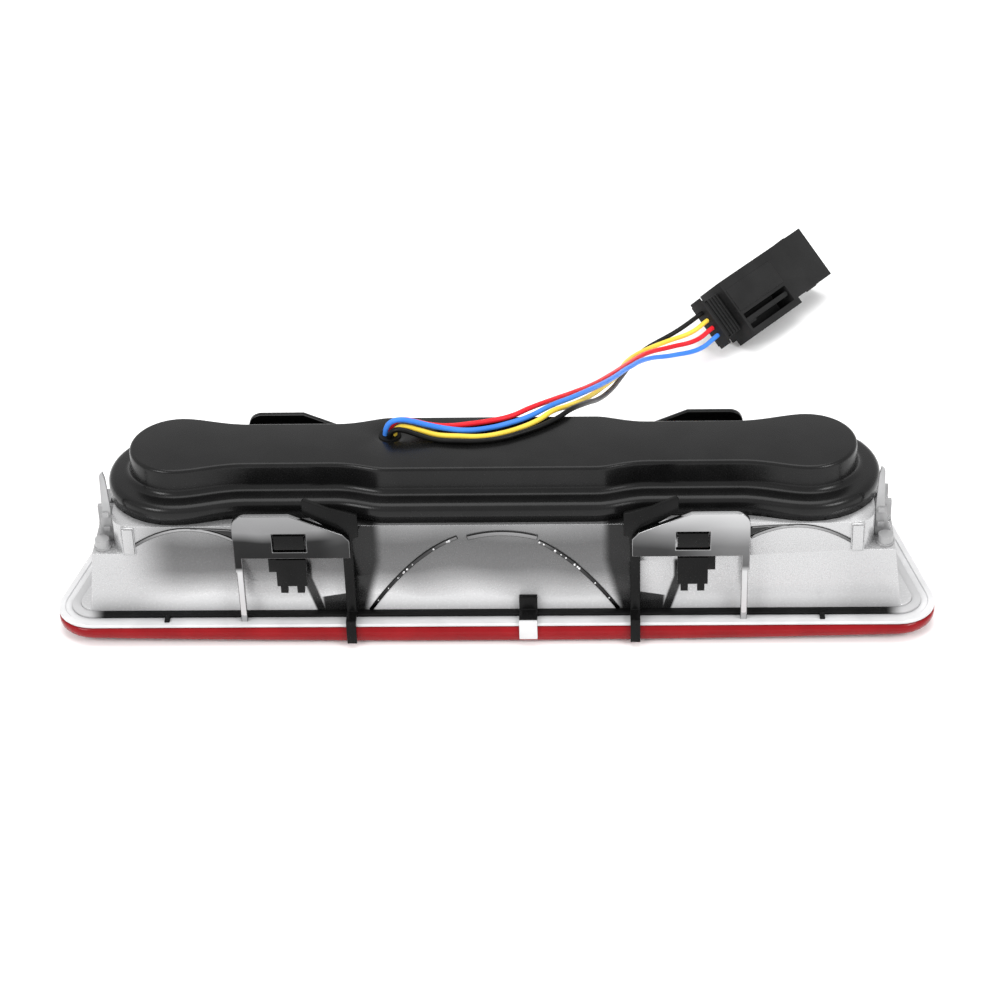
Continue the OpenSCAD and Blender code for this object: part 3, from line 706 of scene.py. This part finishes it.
def make_corner_ribs():
    """Folded upright ribs at the four corners of the raised box."""
    bm = bmesh.new()
    for side_x in (-1, 1):
        for side_y in (-1, 1):
            low, high = sorted((side_x * 136.4, side_x * 141.6))
            front, back = sorted((side_y * 29.9, side_y * 25.4))
            verts = add_box(bm, (low, front, 37.8), (high, back, 50.2))
            bm.normal_update()
            outer = [f for f in bm.faces if all(v in verts for v in f.verts) and f.normal.y * side_y > 0.9]
            bmesh.ops.inset_region(bm, faces=outer, thickness=1.1 * MM, depth=-1.3 * MM, use_even_offset=True)
    bevel_edges(bm, hard_edges(bm), 0.3)
    add_piece(bm, "corner_ribs", [BRIGHT_WALL, BRIGHT_EDGE], "metallised")


rounded("housing", "bright_housing", 0.4, [BRIGHT_WALL, BRIGHT_EDGE], "metallised")
make_beads()
make_corner_ribs()


# ---- Brackets, straps, clips, snaps and fins ----
def top_corner(bm):
    """Rounds the bracket plate's outer top corner."""
    edges = []
    for edge in hard_edges(bm, 30):
        along = edge.verts[1].co - edge.verts[0].co
        crosswise = abs(along.x) < 1e-6 and abs(along.z) < 1e-6
        if crosswise and all(abs(v.co.x) > 0.094 and v.co.z > 0.055 for v in edge.verts):
            edges.append(edge)
    bevel_edges(bm, edges, 2.1, segments=5)


BRACKETS = {
    "near_left": [BRACKET_LEFT, BRACKET_EDGE], "near_right": [BRACKET_RIGHT, BRACKET_EDGE],
    "far_left": [BRACKET_FAR, FAR_EDGE], "far_right": [BRACKET_FAR, FAR_EDGE],
}
for corner, bright in BRACKETS.items():
    rounded(f"bracket_{corner}", f"bracket_{corner}_bright", 0.35, bright, "metallised", extra=top_corner)
    rounded(f"strap_{corner}", f"strap_{corner}_moulded", 0.25, [CLIP_BLACK], "clip_black")
    rounded(f"clip_{corner}", f"clip_{corner}_moulded", 0.25, [CLIP_BLACK], "clip_black",
            body=f"clip_{corner}")
for name in ("snap_near", "snap_far"):
    rounded(name, f"{name}_arm", 0.3, [CLIP_BLACK], "clip_black")
rounded("snap_lugs", "clear_lugs", 0.25, [CLEAR], "clear_plastic")
for name in ("fin_left", "fin_right"):
    rounded(name, f"{name}_clear", 0.3, [CLEAR_FIN, CLEAR_EDGE], "clear_plastic")


# ---- Pieces that keep their CAD shape ----
KEPT = {
    "reflector_middle": BRIGHT_EDGE, "reflector_left": BRIGHT_EDGE, "reflector_right": BRIGHT_EDGE,
    "cover_gasket": SEAL_BLACK, "outlet_seal": SEAL_BLACK,
    "circuit_board": BOARD_GREEN, "leds": LED_WHITE, "board_parts": PART_BLACK, "board_screws": SCREW_STEEL,
    "wire_header": HEADER_IVORY, "inner_leads": LEAD_GREY,
}
for kept_node, kept_finish in KEPT.items():
    refinish(kept_node, kept_finish)


# ---- Stage ----
# Each soft box: its place, its size and its power
SOFT_BOXES = (((-0.9, -0.9, 0.9), 0.5, 9), ((0.9, -0.8, 0.9), 0.5, 9), ((0, 0.2, 1.6), 1.2, 14))


def make_stage():
    """Plain pale floor with soft light from all round and three soft boxes."""
    bm = bmesh.new()
    bmesh.ops.create_grid(bm, x_segments=1, y_segments=1, size=6)
    mesh = bpy.data.meshes.new("floor")
    bm.to_mesh(mesh)
    bm.free()
    paper = {"Base Color": (0.93, 0.93, 0.93, 1), "Roughness": 0.9, "Specular IOR Level": 0.1}
    mesh.materials.append(new_finish("pale paper", paper)[0])
    floor = put_in_scene("floor", mesh)
    floor.location.z = -0.0002

    world = bpy.data.worlds.new("studio")
    world.use_nodes = True
    world.node_tree.nodes["Background"].inputs["Color"].default_value = (1, 1, 1, 1)
    world.node_tree.nodes["Background"].inputs["Strength"].default_value = 0.95
    bpy.context.scene.world = world
    for place, size, power in SOFT_BOXES:
        light = bpy.data.lights.new("soft box", "AREA")
        light.size = size
        light.energy = power
        box = put_in_scene("soft_box", light)
        box.location = place
        box.rotation_euler = (-Vector(place)).to_track_quat("-Z", "Y").to_euler()
    bpy.context.scene.view_settings.view_transform = "Standard"


make_stage()
